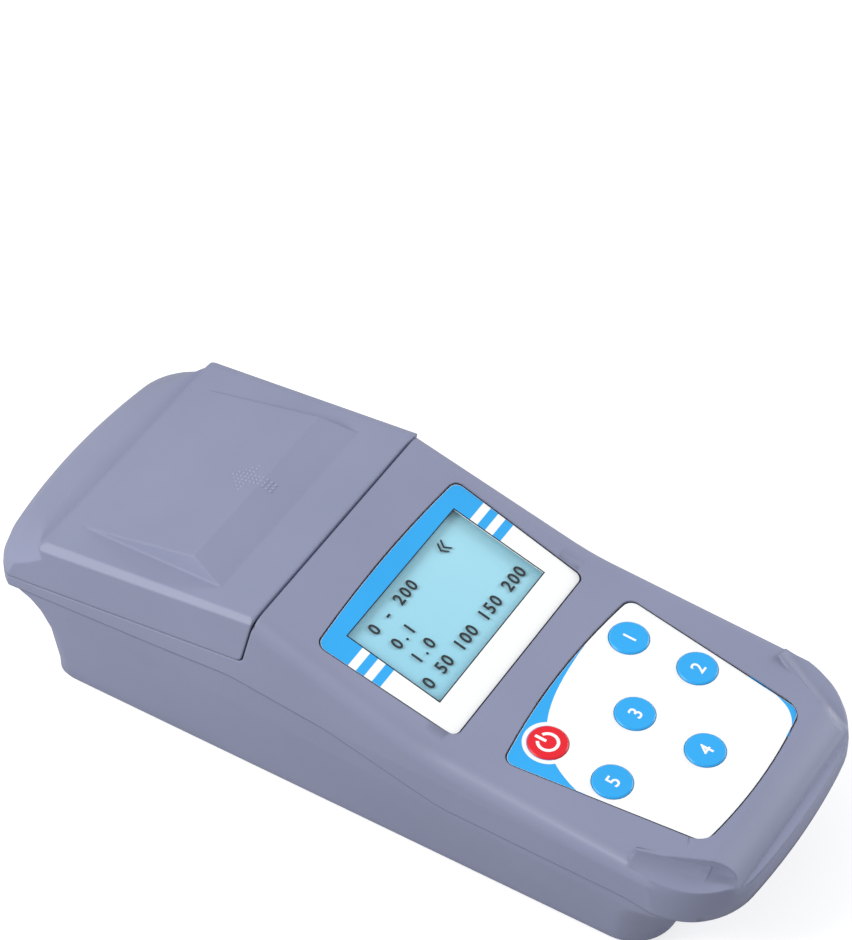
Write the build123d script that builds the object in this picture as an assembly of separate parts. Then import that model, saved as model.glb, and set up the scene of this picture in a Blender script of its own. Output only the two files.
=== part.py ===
from build123d import *
import math
import os

os.makedirs("parts", exist_ok=True)

# Frame: the origin lies under the middle of the meter on the surface it stands on.
# X runs to the right as the user reads it, Y runs from the user to the rear, Z is up.

# Whole body
nose_y = -132.0
tail_y = 132.0
half_width = 49.4
widest_z = 41.0
wall_lean = 7.0
wall = 2.5
foot_height = 1.5
floor_top = 4.5

# Faces seen from above, each a height at one place and a slope
display_edge_y = 7.5
display_edge_z = 61.5
display_slope = 17.1
keypad_ref_z = 51.7
keypad_slope = 3.42
overlay = 0.5
sink = 0.4
shoulder_radius = 6.0
peak_y = 29.9
peak_z = 68.8

# Lid and the seam it slides on
lid_tilt = 7.6
seam_y = 33.4
seam_z = 51.1
lid_gap = 0.6
lid_travel = 54.0
lid_wall = 2.4
ridge_y = 107.6
ridge_z = 58.2
lid_top_t = 17.26
bevel_half = 43.9
bevel_wide = 2.9
bevel_drop = 1.7
pad_rise = 5.4
hook_x = 40.0
rail_rear = 85.0
hook_front = 3.0
hook_rear = rail_rear - 3.0 - lid_travel - 0.5
rail_front = 6.0

# Display and keys
window_wide = 60.0
window_tall = 33.7
key_radius = 6.2
key_clearance = 0.2
key_travel = 0.4
key_rise = 0.5
keys = {
    "power_key": (-23.85, -58.3),
    "right_upper_key": (23.85, -58.3),
    "left_lower_key": (-25.4, -81.1),
    "right_lower_key": (25.4, -81.1),
    "centre_key": (0.0, -74.1),
    "front_key": (0.0, -98.0),
}

# Sample well
well_y = 65.0
well_radius = 12.9
well_floor_z = 5.5
collar_radius = 17.0
holder_radius = 16.5
beam_z = 23.0

# Batteries under the keypad
cell_radius = 7.1
cell_length = 50.5
cell_pitch = 15.2
cell_z = 14.2
battery_y = -63.0
bay_wide = 62.0
bay_long = 66.0
tray_top = 23.5

# Rubber feet
foot_radius = 4.5
feet = ((29.0, -101.3), (33.0, 88.0))

# Screws
case_screws_at = ((38.5, -96.0), (40.0, 96.0))
board_screws_at = ((39.0, -84.0), (39.0, -26.0))
keypad_screws_at = ((32.0, -66.0), (25.0, -106.0))
lcd_screw_x = 37.5
lcd_screw_y = 23.5

# Circuit boards
board = 1.6
main_board_z = 26.0


def tan(degrees):
    return math.tan(math.radians(degrees))


def half_at(z, inset=0.0):
    """Half width of the upper casing, upright below its widest level and leaning in above."""
    return half_width - inset - max(0.0, z - widest_z) * tan(wall_lean)


def seam_at(y):
    return seam_z - (y - seam_y) * tan(lid_tilt)


def keypad_at(y):
    return keypad_ref_z + (y - display_edge_y) * tan(keypad_slope)


def display_at(y):
    return display_edge_z + (y - display_edge_y) * tan(display_slope)


def rounded(corners):
    """Closed outline of corners given as (across, up, radius)."""
    face = make_face(Polyline(*[(u, v) for u, v, _ in corners], close=True))
    for u, v, radius in corners:
        if radius:
            corner = face.vertices().sort_by_distance((u, v, 0))[0]
            face = fillet(corner, radius)
    return face


def across(face, half=70.0):
    """Side view face, drawn as (y, z), carried from one side to the other."""
    return extrude(Plane.YZ * face, half, both=True)


def box(x, y, z, wide, deep, tall):
    """Box from its middle in plan and its underside."""
    return Pos(x, y, z + tall / 2) * Box(wide, deep, tall)


def post(x, y, z, radius, tall):
    """Upright cylinder from its underside."""
    return Pos(x, y, z + tall / 2) * Cylinder(radius, tall)


def face_plane(y, slope, z):
    """Plane lying on a sloped face, its X across and its Y up the slope."""
    up = (0, -math.sin(math.radians(slope)), math.cos(math.radians(slope)))
    return Plane(origin=(0, y, z), x_dir=(1, 0, 0), z_dir=up)


keypad_plane = face_plane(-80.0, keypad_slope, keypad_at(-80.0))
display_plane = face_plane(display_edge_y, display_slope, display_edge_z)
lid_plane = face_plane(seam_y, -lid_tilt, seam_z)


def plan_outline(front, rear, half, nose_bulge, tail_bulge, nose_radius, tail_radius, taper=0.0):
    """Plan of the body with gently bowed ends and rounded corners, narrower in front by the taper."""
    front_y = front + nose_bulge
    rear_y = rear - tail_bulge
    face = make_face(
        [
            ThreePointArc((taper - half, front_y), (0, front), (half - taper, front_y)),
            Line((half - taper, front_y), (half, rear_y)),
            ThreePointArc((half, rear_y), (0, rear), (-half, rear_y)),
            Line((-half, rear_y), (taper - half, front_y)),
        ]
    )
    for end_y, radius in ((front_y, nose_radius), (rear_y, tail_radius)):
        corners = [v for v in face.vertices() if abs(v.Y - end_y) < 0.01]
        face = fillet(corners, radius)
    return face


def leaning_walls(inset=0.0):
    """Long body whose two side walls lean in towards the top."""
    high = 90.0
    wide, narrow = half_at(widest_z, inset), half_at(high, inset)
    section = Polyline(
        (-wide, 0), (wide, 0), (wide, widest_z), (narrow, high), (-narrow, high), (-wide, widest_z), close=True
    )
    return extrude(Plane.XZ * make_face(section), 150, both=True)


def top_profile():
    """Side view of the upper casing: keypad, valley, display slope, step and seam."""
    rise = sink
    valley_gap = (display_edge_z + rise) - (keypad_ref_z + rise)
    valley_y = display_edge_y - valley_gap / (tan(display_slope) - tan(keypad_slope))
    return rounded(
        [
            (-150, 10, 0),
            (-150, keypad_at(-150) + rise, 0),
            (valley_y, keypad_at(valley_y) + rise, 60),
            (peak_y, peak_z, 0),
            (seam_y, seam_z, 2.5),
            (150, seam_at(150), 0),
            (150, 10, 0),
        ]
    )


def parting_profile():
    """Side view of everything below the line where the two casings meet."""
    return rounded(
        [
            (-150, -5, 0),
            (-150, 24.5, 0),
            (-120, 27.5, 30),
            (-100, 30.8, 40),
            (-36, 30.2, 30),
            (4, 40.4, 30),
            (38, 43.2, 40),
            (150, 32.6, 0),
            (150, -5, 0),
        ]
    )


def shoulders(shape, limit):
    """Long upper edges of the side walls in front of the lid."""
    return [
        e
        for e in shape.edges()
        if e.center().Y < limit
        and e.center().Z > widest_z + 1
        and abs(e.center().X) > 40
        and abs(e.tangent_at(0.5).Y) > 0.8
    ]


def upper_form():
    """Outer form of the upper casing before it is hollowed."""
    form = leaning_walls() & across(top_profile())
    form = fillet(shoulders(form, 29), shoulder_radius)
    form = form & extrude(plan_outline(nose_y - 12, tail_y, 52, 5, 7, 2, 18), 90) & nose_form()
    roll = rounded(
        [
            (-160, 36.6, 0),
            (-128.5, 37.4, 0),
            (-124.2, 44.4, 15),
            (-100, 46.0, 0),
            (-100, 80, 0),
            (-160, 80, 0),
        ]
    )
    form = form - across(roll)
    for side in (1, -1):
        form = form - corner_scoop(side)
    return form - across(parting_profile())


def nose_form():
    """Front end in plan at its levels: it swells out to its widest and rolls back in to the rim."""
    sections = []
    for z, back in ((15, 2.2), (25, 1.2), (31, 0), (34, 0), (38, 0.6), (40.5, 1.8), (42, 3.8), (42.6, 5.6), (90, 5.6)):
        plan = plan_outline(nose_y + back, tail_y + 20, half_width + 0.2, 5, 5, 26, 2)
        sections.append(Plane.XY.offset(z) * plan)
    return loft(sections, ruled=True)


def corner_scoop(side):
    """Hollow at a front corner between the keypad plateau and the outer rim."""
    plan = Polyline(
        (side * 50, -84),
        (side * 30, -127.8),
        (side * 26, -140),
        (side * 65, -140),
        (side * 65, -84),
        close=True,
    )
    block = extrude(Plane.XY.offset(20) * make_face(plan), 40)
    above_floor = Polyline((-150, 34.2), (-80, 48.2), (-80, 70), (-150, 70), close=True)
    scoop = block & across(make_face(above_floor), 80)
    roots = [e for e in scoop.edges() if e.length > 20 and abs(e.center().X) < 42 and e.center().Z < 46]
    roots = [e for e in roots if abs(e.center().Y) > 90]
    return fillet(roots, 5)


def upper_cavity():
    """Room inside the upper casing."""
    inner = leaning_walls(wall) & across(offset(top_profile(), -wall))
    inner = fillet(shoulders(inner, 24), shoulder_radius - wall)
    room = rounded([(-117, 5, 0), (-117, 41, 8), (-100, 60, 0), (-100, 90, 0), (121, 90, 0), (121, 5, 0)])
    inner = inner & across(room)
    plan = plan_outline(nose_y + 6, tail_y - 6, 46.5, 5, 7, 16, 18)
    return inner & extrude(plan, 90)


def top_housing():
    """Upper casing: faces for display and keys, and the deck under the lid."""
    form = upper_form()
    shell = form - upper_cavity()
    x, y = window_centre()
    shell = shell + display_plane * Pos(x, y, -2.6) * Box(72, 45, 2.4)
    shell = shell - display_pocket() - keypad_pocket()
    for x, y in keys.values():
        shell = shell - on_keypad(x, y, -8, key_radius + key_clearance, 12)
    shell = shell - post(0, well_y, 20, collar_radius + 0.1, 40)
    for side in (1, -1):
        for x, y in case_screws_at:
            shell = shell + (post(side * x, y, 28, 4.2, 20) & form)
            shell = shell - post(side * x, y, 20, 1.2, 20.5)
        for x, y in keypad_screws_at:
            shell = shell + on_keypad(side * x, y, keypad_board_depth, 2.6, -keypad_board_depth - 1.5)
            shell = shell - on_keypad(side * x, y, keypad_board_depth - 1, 0.95, 6)
        for end in (1, -1):
            place = display_plane * Pos(side * lcd_screw_x, end * lcd_screw_y - window_tall / 2, 0)
            shell = shell + place * Pos(0, 0, -4.15) * Cylinder(2.4, 5.3)
            shell = shell - place * Pos(0, 0, -5) * Cylinder(0.95, 5)
    return shell


def on_keypad(x, y, low, radius, tall):
    """Cylinder square to the keypad face, from a depth below it."""
    along = (y + 80.0) / math.cos(math.radians(keypad_slope))
    return keypad_plane * Pos(x, along, low + tall / 2) * Cylinder(radius, tall)


def bowed_label(rear_half, front_half, rear_y, front_y, rear_bow, front_bow, rear_radius, front_radius):
    """Label outline that narrows to the front, with bowed ends."""
    face = make_face(
        [
            ThreePointArc((-rear_half, rear_y), (0, rear_y + rear_bow), (rear_half, rear_y)),
            Line((rear_half, rear_y), (front_half, front_y)),
            ThreePointArc((front_half, front_y), (0, front_y - front_bow), (-front_half, front_y)),
            Line((-front_half, front_y), (-rear_half, rear_y)),
        ]
    )
    for y, radius in ((rear_y, rear_radius), (front_y, front_radius)):
        corners = [v for v in face.vertices() if abs(v.Y - y) < 0.01]
        face = fillet(corners, radius)
    return face


def display_label(grow=0.0):
    return bowed_label(39.3 + grow, 37.3 + grow, 5.5 + grow, -44.2 - grow, 1.6, 0.01, 3.5, 3.0)


def keypad_label(grow=0.0):
    rear = (-50.7 + 80.0) / math.cos(math.radians(keypad_slope))
    front = (-114.3 + 80.0) / math.cos(math.radians(keypad_slope))
    return bowed_label(37.45 + grow, 29.4 + grow, rear + grow, front - grow, 3.0, 2.5, 4.0, 7.0)


def window_centre():
    return (0, -window_tall / 2)


def display_pocket():
    """Recess for the display overlay, seat for the window and hole for the glass."""
    x, y = window_centre()
    recess = extrude(display_plane * display_label(0.15), 8)
    recess = recess + extrude(display_plane * display_label(0.15), -overlay)
    seat = display_plane * Pos(x, y, -overlay - 0.7) * Box(67, 40, 1.4)
    hole = display_plane * Pos(x, y, -8) * Box(63, 36.5, 16)
    return recess + seat + hole


def keypad_pocket():
    """Recess for the keypad overlay."""
    up = extrude(keypad_plane * keypad_label(0.15), 8)
    return up + extrude(keypad_plane * keypad_label(0.15), -overlay)


def display_overlay():
    x, y = window_centre()
    sheet = extrude(display_plane * display_label(), -overlay + 0.02)
    return sheet - display_plane * Pos(x, y, 0) * Box(window_wide, window_tall, 4)


def display_window():
    x, y = window_centre()
    return display_plane * Pos(x, y, -overlay - 0.6) * Box(66.4, 39.4, 1.2)


def lcd_panel():
    x, y = window_centre()
    return display_plane * Pos(x, y, -overlay - 2.9) * Box(62.4, 36.0, 2.6)


def lcd_bezel():
    """Pressed metal frame that holds the glass to its board."""
    x, y = window_centre()
    frame = display_plane * Pos(x, y, -overlay - 5.3) * Box(70, 43, 2.0)
    return frame - display_plane * Pos(x, y, -overlay - 5.3) * Box(58, 32, 4)


def lcd_board():
    x, y = window_centre()
    plate = display_plane * Pos(x, y, -6.8 - board / 2) * Box(81, 53, board)
    for side in (1, -1):
        for end in (1, -1):
            plate = plate - display_plane * Pos(side * lcd_screw_x, y + end * lcd_screw_y, -8) * Cylinder(1.1, 6)
    return plate


def keypad_overlay():
    sheet = extrude(keypad_plane * keypad_label(), -overlay + 0.02)
    for x, y in keys.values():
        sheet = sheet - on_keypad(x, y, -4, key_radius + key_clearance, 8)
    return sheet


def key_button(x, y):
    """Key with a domed cap, a flange that keeps it in and a stem to its switch."""
    under = sink - wall
    cap = on_keypad(x, y, under - 0.8, key_radius, key_rise - under + 0.8)
    rim = cap.edges().sort_by(Axis.Z)[-1]
    cap = chamfer(rim, 0.4)
    flange = on_keypad(x, y, under - 0.9, key_radius + 1.0, 0.8)
    stem = on_keypad(x, y, keypad_board_depth + 4.0 + 1.5 * key_travel, 1.8, 4)
    return cap + flange + stem


keypad_board_depth = -wall - 7.0


def keypad_board():
    plane = keypad_plane.offset(keypad_board_depth)
    plate = extrude(plane * keypad_label(-1.0), -board)
    for side in (1, -1):
        for x, y in keypad_screws_at:
            plate = plate - on_keypad(side * x, y, keypad_board_depth - 4, 1.1, 8)
    return plate


def tact_switches():
    """One push switch under each key: square body and round button."""
    pieces = []
    for x, y in keys.values():
        along = (y + 80.0) / math.cos(math.radians(keypad_slope))
        body = keypad_plane * Pos(x, along, keypad_board_depth + 1.5) * Box(6, 6, 3)
        pieces.append(body + on_keypad(x, y, keypad_board_depth + 3.0, 1.6, 1.0))
    return Compound(children=pieces)


def lid_outline(inset=0.0):
    """Side view of the lid as far as its ridge."""
    top = peak_z + 0.1
    lean = (peak_y - seam_y) / (peak_z - seam_z)
    front = seam_y + lid_gap
    face = rounded(
        [
            (front, seam_at(front) + 0.3, 2.5),
            (front + lean * (top - seam_z), top, 1.2),
            (ridge_y, ridge_z, 0),
            (ridge_y + 2.2, ridge_z - 2.6, 0),
            (140, ridge_z - 4, 0),
            (140, seam_at(140) + 0.3, 0),
        ]
    )
    return offset(face, -inset) if inset else face


def lid_section(inset=0.0):
    """Bevelled cross-section of the lid, carried along the way it slides."""
    top = lid_top_t - inset
    edge = bevel_half - inset
    fall = (60 - edge) * bevel_drop / bevel_wide
    face = Polyline((-60, -40), (60, -40), (60, top - fall), (edge, top), (-edge, top), (-60, top - fall), close=True)
    slide = lid_plane.y_dir
    plane = Plane(origin=lid_plane.origin, x_dir=(1, 0, 0), z_dir=-slide)
    return extrude(plane * make_face(face), 140, both=True)


# Height, rearmost point, bow and corner radius of the lid's tail at its levels
tail_levels = (
    (30, 132.0, 7, 18),
    (41, 131.7, 7, 18),
    (46, 129.9, 6.5, 21),
    (50, 126.2, 6.5, 27),
    (53.5, 119.6, 6, 25),
    (56, 113.2, 4, 14),
    (57.8, 108.4, 1.2, 4),
    (75, 104.0, 1.2, 4),
)


def tail_form(inset=0.0):
    """Rear of the lid, falling in gentle bands to its rounded tail."""
    sections = []
    for z, tail, bulge, corner in tail_levels:
        plan = plan_outline(-40, tail - inset, 52, 3, bulge, 5, max(corner - inset, 1.0))
        sections.append(Plane.XY.offset(z - inset * 0.5) * plan)
    return loft(sections, ruled=True)


def lid_form(inset=0.0):
    return leaning_walls(inset) & across(lid_outline(inset)) & lid_section(inset) & tail_form(inset)


def lid_pad():
    """Raised thumb pad on the lid with bevelled sides, fading out to the rear."""
    low = make_face(Polyline((-38.0, 10.0), (38.0, 10.0), (34.0, 72.0), (-34.0, 72.0), close=True))
    high = make_face(Polyline((-34.0, 23.5), (34.0, 23.5), (31.0, 70.0), (-31.0, 70.0), close=True))
    block = loft([lid_plane.offset(lid_top_t - 0.8) * low, lid_plane.offset(lid_top_t + pad_rise) * high], ruled=True)
    falling = Polyline((30, 60), (peak_y + 10, 75.2), (ridge_y - 4, ridge_z + 0.3), (ridge_y - 2, 40), close=True)
    return block & across(make_face(falling))


def on_lid(x, s, t, wide, deep, tall):
    """Box in the lid's own frame: x across, s to the rear along the seam, t above it."""
    return lid_plane * Pos(x, s, t + tall / 2) * Box(wide, deep, tall)


def lid():
    """Sliding lid: open in front and below, with a hooked rib inside each wall."""
    inner = lid_form(lid_wall)
    below = across(make_face(Polyline((0, 0), (0, seam_at(0) + 3), (140, seam_at(140) + 3), (140, 0), close=True)))
    roof_t = lid_top_t - lid_wall
    mouth = on_lid(0, 0, -1.5, 2 * half_at(58, lid_wall), 16, roof_t + 1.5)
    shell = lid_form() + lid_pad() - inner - mouth
    shell = shell - (below & leaning_walls(lid_wall) & tail_form(lid_wall + 1))
    middle = (hook_front + hook_rear) / 2
    for side in (1, -1):
        rib = on_lid(side * hook_x, middle, 1.0, 2.0, hook_rear - hook_front, roof_t)
        hook = on_lid(side * (hook_x - 1.4), middle, 1.0, 2.8, hook_rear - hook_front, 1.8)
        shell = shell + (rib & lid_form(0.5)) + hook
    return shell


def guide_rails():
    """Two strips screwed to the deck that hold the lid down and stop it open."""
    pieces = []
    length = rail_rear - rail_front
    middle = (rail_front + rail_rear) / 2
    for side in (1, -1):
        web = on_lid(side * 34.8, middle, 0, 4.0, length, 3.2)
        lip = on_lid(side * 35.7, middle, 3.2, 5.8, length, 1.6)
        stop = on_lid(side * 37.6, rail_rear - 1.5, 0, 2.0, 3.0, 3.3)
        pieces.append(web + lip + stop)
    return Compound(children=pieces)


def light_seal():
    """Foam strip round the mouth of the step, inside the front of the lid."""
    lean = (peak_y - seam_y) / (peak_z - seam_z)
    low, high, thick = seam_z + 3.5, peak_z - 3.6, 1.8
    strip = Polyline(
        (seam_y + lean * (low - seam_z), low),
        (seam_y + lean * (low - seam_z) + thick, low),
        (seam_y + lean * (high - seam_z) + thick, high),
        (seam_y + lean * (high - seam_z), high),
        close=True,
    )
    band = across(make_face(strip), 42)
    return band - box(0, seam_y, 20, 78, 20, high - 2.5 - 20)


def cell_holder():
    """Black block that holds the vial upright, with ports for lamp and sensor."""
    top = seam_at(well_y) - wall - 0.2
    body = post(0, well_y, floor_top, holder_radius, top - floor_top)
    lamp_arm = box(0, well_y - holder_radius - 4, beam_z - 8, 18, 16, 16)
    sensor_arm = box(holder_radius + 4, well_y, beam_z - 8, 16, 18, 16)
    ears = box(0, well_y + 14, floor_top, 46, 10, 3)
    body = body + lamp_arm + sensor_arm + ears
    body = body - post(0, well_y, well_floor_z, well_radius, 60)
    lamp_bore = Pos(0, well_y - 20, beam_z) * Rot(90, 0, 0) * Cylinder(2.55, 30)
    sensor_bore = Pos(20, well_y, beam_z) * Rot(0, 90, 0) * Cylinder(3.05, 30)
    for side in (1, -1):
        body = body - post(side * 19.5, well_y + 14, 0, 1.6, 20)
    return body - lamp_bore - sensor_bore


def well_collar():
    """Ring that lines the mouth of the well and stands above the deck."""
    low = seam_at(well_y) - wall - 0.2
    ring = post(0, well_y, low, collar_radius, 6.2)
    rim = ring.edges().sort_by(Axis.Z)[-1]
    ring = chamfer(rim, 0.8)
    return ring - post(0, well_y, low - 1, well_radius, 12)


def lamp():
    """Light source: round lamp with a flange and two leads."""
    y = well_y - holder_radius - 7
    body = Pos(0, y + 2.5, beam_z) * Rot(90, 0, 0) * Cylinder(2.5, 7)
    flange = Pos(0, y - 1.5, beam_z) * Rot(90, 0, 0) * Cylinder(2.5, 1)
    return body + flange


def lamp_lens():
    y = well_y - holder_radius + 1.0
    return Pos(0, y, beam_z) * Rot(90, 0, 0) * Cylinder(2.5, 2.0)


def lamp_board():
    y = well_y - holder_radius - 12 - board / 2
    return box(0, y, beam_z - 9, 18, board, 18)


def sensor():
    x = holder_radius + 6
    return Pos(x, well_y, beam_z) * Rot(0, 90, 0) * Cylinder(3.0, 7)


def sensor_lens():
    x = holder_radius - 1.0
    return Pos(x, well_y, beam_z) * Rot(0, 90, 0) * Cylinder(3.0, 2.0)


def sensor_board():
    x = holder_radius + 12 + board / 2
    return box(x, well_y, beam_z - 10, board, 20, 20)


def cove(t):
    """How far an end wall has swept out, for a share t of the cove's height."""
    return 1 - math.sqrt(1 - t * t)


def lower_form():
    """Levels of the lower casing: a rounded base, then swept out at both ends under the rim."""
    base_front, base_rear = -108.5, 107.3
    levels = []
    for rise, inset in ((0, 2.2), (0.7, 0.8), (2.4, 0)):
        z = foot_height + rise
        levels.append(lower_section(z, z, base_front + inset, base_rear - inset, 0.0, inset))
    for turn in (0, 30, 50, 66, 80):
        t = math.sin(math.radians(turn))
        out = cove(t)
        front, rear = base_front - 25.2 * out, base_rear + 28.5 * out
        levels.append(lower_section(7.0 + t * 19.0, 8.0 + t * 27.0, front, rear, out, 0.0))
    return levels


def lower_section(front_z, rear_z, front, rear, out, inset):
    """One level of the lower casing, tilted a little down to the front."""
    middle_z = (front_z + rear_z) / 2
    tilt = math.degrees(math.atan2(rear_z - front_z, tail_y - nose_y))
    half = half_width - 0.5 - inset
    taper = 3.8 * (1 - middle_z / 30.2)
    plan = plan_outline(front, rear, half, 1.5 + 3.6 * out, 0.8 + 6 * out, 14 + 14 * out, 7 + 10 * out, taper)
    return face_plane(0, tilt, middle_z) * plan


def bottom_housing():
    """Lower casing with the battery opening, posts for screws and pockets for feet."""
    levels = lower_form()
    form = loft(levels, ruled=True)
    form = form + extrude(levels[-1], 24, dir=(0, 0, 1))
    form = form & across(parting_profile())
    room = box(0, -1.5, floor_top, 85, 205, 60)
    room = fillet(room.edges().filter_by(Axis.Z), 12)
    shell = form - room
    for side in (1, -1):
        for x, y in case_screws_at:
            shell = shell + (post(side * x, y, foot_height, 4.2, 45) & form)
            shell = shell - post(side * x, y, -5, 3.2, 13)
            shell = shell - post(side * x, y, -5, 1.7, 60)
        for x, y in board_screws_at:
            shell = shell + post(side * x, y, foot_height + 1, 3.0, main_board_z - foot_height - 1)
            shell = shell - post(side * x, y, main_board_z - 9, 1.0, 12)
        shell = shell + post(side * 19.5, well_y + 14, foot_height + 1, 3.4, floor_top - foot_height - 1)
        shell = shell - post(side * 19.5, well_y + 14, foot_height + 0.6, 1.0, 8)
        for x, y in feet:
            shell = shell - post(side * x, y, 0, foot_radius + 0.1, foot_height + 0.7)
    return shell - box(0, battery_y, -5, bay_wide, bay_long, 20)


def rubber_feet():
    pads = [post(side * x, y, 0, foot_radius, foot_height + 0.7) for side in (1, -1) for x, y in feet]
    return Compound(children=pads)


def plain_screw(x, y, z, radius, head_radius, head_tall, length):
    """Pan screw from its head's underside, pointing up."""
    return post(x, y, z - head_tall, head_radius, head_tall) + post(x, y, z, radius, length)


def screw(x, y, z, radius, head_radius, head_tall, length):
    """Pan screw with a crossed recess in its head."""
    slot = box(x, y, z - head_tall, head_radius * 1.2, 0.6, 0.8)
    slot = slot + box(x, y, z - head_tall, 0.6, head_radius * 1.2, 0.8)
    return plain_screw(x, y, z, radius, head_radius, head_tall, length) - slot


def case_screws():
    places = [(side * x, y) for side in (1, -1) for x, y in case_screws_at]
    return Compound(children=[screw(x, y, 8.0, 1.2, 2.8, 2.0, 32) for x, y in places])


def board_screws():
    places = [(side * x, y) for side in (1, -1) for x, y in board_screws_at]
    down = Plane(origin=(0, 0, main_board_z + board), x_dir=(1, 0, 0), z_dir=(0, 0, -1))
    return Compound(children=[down * plain_screw(x, -y, 0, 1.0, 2.4, 1.6, 8) for x, y in places])


def keypad_screws():
    pieces = []
    for side in (1, -1):
        for x, y in keypad_screws_at:
            along = (y + 80.0) / math.cos(math.radians(keypad_slope))
            pieces.append(keypad_plane * plain_screw(side * x, along, keypad_board_depth - board, 0.95, 1.9, 1.3, 6))
    return Compound(children=pieces)


def lcd_screws():
    pieces = []
    for side in (1, -1):
        for end in (1, -1):
            y = end * lcd_screw_y - window_tall / 2
            pieces.append(display_plane * plain_screw(side * lcd_screw_x, y, -6.8 - board, 0.95, 1.9, 1.3, 5))
    return Compound(children=pieces)


def main_board():
    plate = box(0, -55, main_board_z, 84, 66, board)
    for side in (1, -1):
        for x, y in board_screws_at:
            plate = plate - post(side * x, y, main_board_z - 1, 1.2, 4)
    return plate


def controller_chip():
    """Square chip with a row of leads on each side."""
    top = main_board_z + board
    body = box(-8, -60, top + 0.1, 12, 12, 1.4)
    for turn in range(4):
        for k in range(8):
            lead = box(6.6, (k - 3.5) * 1.4, top, 1.4, 0.6, 0.5)
            body = body + Pos(-8, -60, 0) * Rot(0, 0, 90 * turn) * lead
    return body


def ribbon(x, wide, route, rise):
    """Flat cable along a side view route of (y, z), folded between its two ends."""
    along, up = rise
    back = [(y + along, z + up) for y, z in reversed(route)]
    return Pos(x, 0, 0) * across(make_face(Polyline(*route, *back, close=True)), wide / 2)


def flat_cables():
    """Flat cables from the display, the keypad, the lamp and the sensor to the main board."""
    top = main_board_z + board
    thick = 0.4
    lcd_end = display_at(-30) - 8.4
    keypad_end = keypad_at(-70) + keypad_board_depth - board
    lamp_y = well_y - holder_radius - 12 - board
    display_cable = ribbon(0, 16, [(-30, lcd_end), (-28.5, 34.5), (-30, top)], (thick, 0)) - lcd_board()
    keypad_cable = ribbon(16, 10, [(-70, keypad_end), (-71.5, 31.5), (-70, top)], (thick, 0)) - keypad_board()
    lamp_cable = ribbon(0, 5, [(lamp_y, 22), (0, 20), (-18, 30.5), (-24, top)], (0, thick))
    sensor_x = holder_radius + 12 + board / 2
    sensor_cable = ribbon(sensor_x, 3, [(well_y - 10, 20), (10, 18), (-18, 30.5), (-24, top)], (0, thick))
    return Compound(children=[display_cable, keypad_cable, lamp_cable, sensor_cable])


def buzzer():
    top = main_board_z + board
    can = post(24, -38, top, 6.0, 6.5)
    return can - post(24, -38, top + 5.5, 1.2, 2)


def battery_tray():
    """Box for four cells, open downwards, with a boss at each end for the cover screws."""
    outer = box(0, battery_y, floor_top, bay_wide + 3, bay_long + 3, tray_top - floor_top)
    tray = outer - box(0, battery_y, 0, bay_wide, bay_long, tray_top - 2)
    for end in (1, -1):
        y = battery_y + end * 29.8
        tray = tray + post(0, y, 3.8, 2.7, tray_top - 2 - 3.8)
        tray = tray - post(0, y, 2, 1.0, 12)
    return tray


def cell_places():
    return [(i - 1.5) * cell_pitch for i in range(4)]


def battery_cells():
    """Four cells laid alternately, each with its raised end contact."""
    cells = []
    for i, x in enumerate(cell_places()):
        end = 1 if i % 2 else -1
        can = Pos(x, battery_y, cell_z) * Rot(90, 0, 0) * Cylinder(cell_radius, cell_length - 1.2)
        nub = Pos(x, battery_y + end * (cell_length / 2), cell_z) * Rot(90, 0, 0) * Cylinder(2.6, 1.4)
        cells.append(can + nub)
    return Compound(children=cells)


def battery_springs():
    """One tapered spring at the flat end of each cell."""
    pieces = []
    for i, x in enumerate(cell_places()):
        end = -1 if i % 2 else 1
        gap = bay_long / 2 - 0.6 - (cell_length / 2 - 0.6)
        y = battery_y + end * (cell_length / 2 - 0.6 + gap / 2)
        pieces.append(Pos(x, y, cell_z) * Rot(90 * end, 0, 0) * Cone(3.6, 2.2, gap - 0.1))
    return Compound(children=pieces)


def battery_contacts():
    """Metal plates at both ends of the tray that join the cells in pairs."""
    plates = []
    for end in (1, -1):
        y = battery_y + end * (bay_long / 2 - 0.35)
        for x in (-15.2, 15.2):
            plates.append(box(x, y, cell_z - 5, 24, 0.5, 10))
    return Compound(children=plates)


def battery_cover():
    """Flat cover screwed on from below, with grip lines along its rear edge."""
    plate = box(0, battery_y, foot_height, bay_wide - 0.6, bay_long - 0.6, 2.2)
    for end in (1, -1):
        y = battery_y + end * 29.8
        plate = plate - post(0, y, 0, 1.4, 8) - post(0, y, 0, 2.8, foot_height + 1.2)
    return plate


def cover_screws():
    return Compound(
        children=[screw(0, battery_y + end * 29.8, foot_height + 1.2, 1.0, 2.4, 1.0, 9) for end in (1, -1)]
    )


def holder_screws():
    down = Plane(origin=(0, 0, floor_top + 3), x_dir=(1, 0, 0), z_dir=(0, 0, -1))
    return Compound(
        children=[down * plain_screw(side * 19.5, -(well_y + 14), 0, 1.0, 2.4, 1.4, 4.8) for side in (1, -1)]
    )


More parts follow.
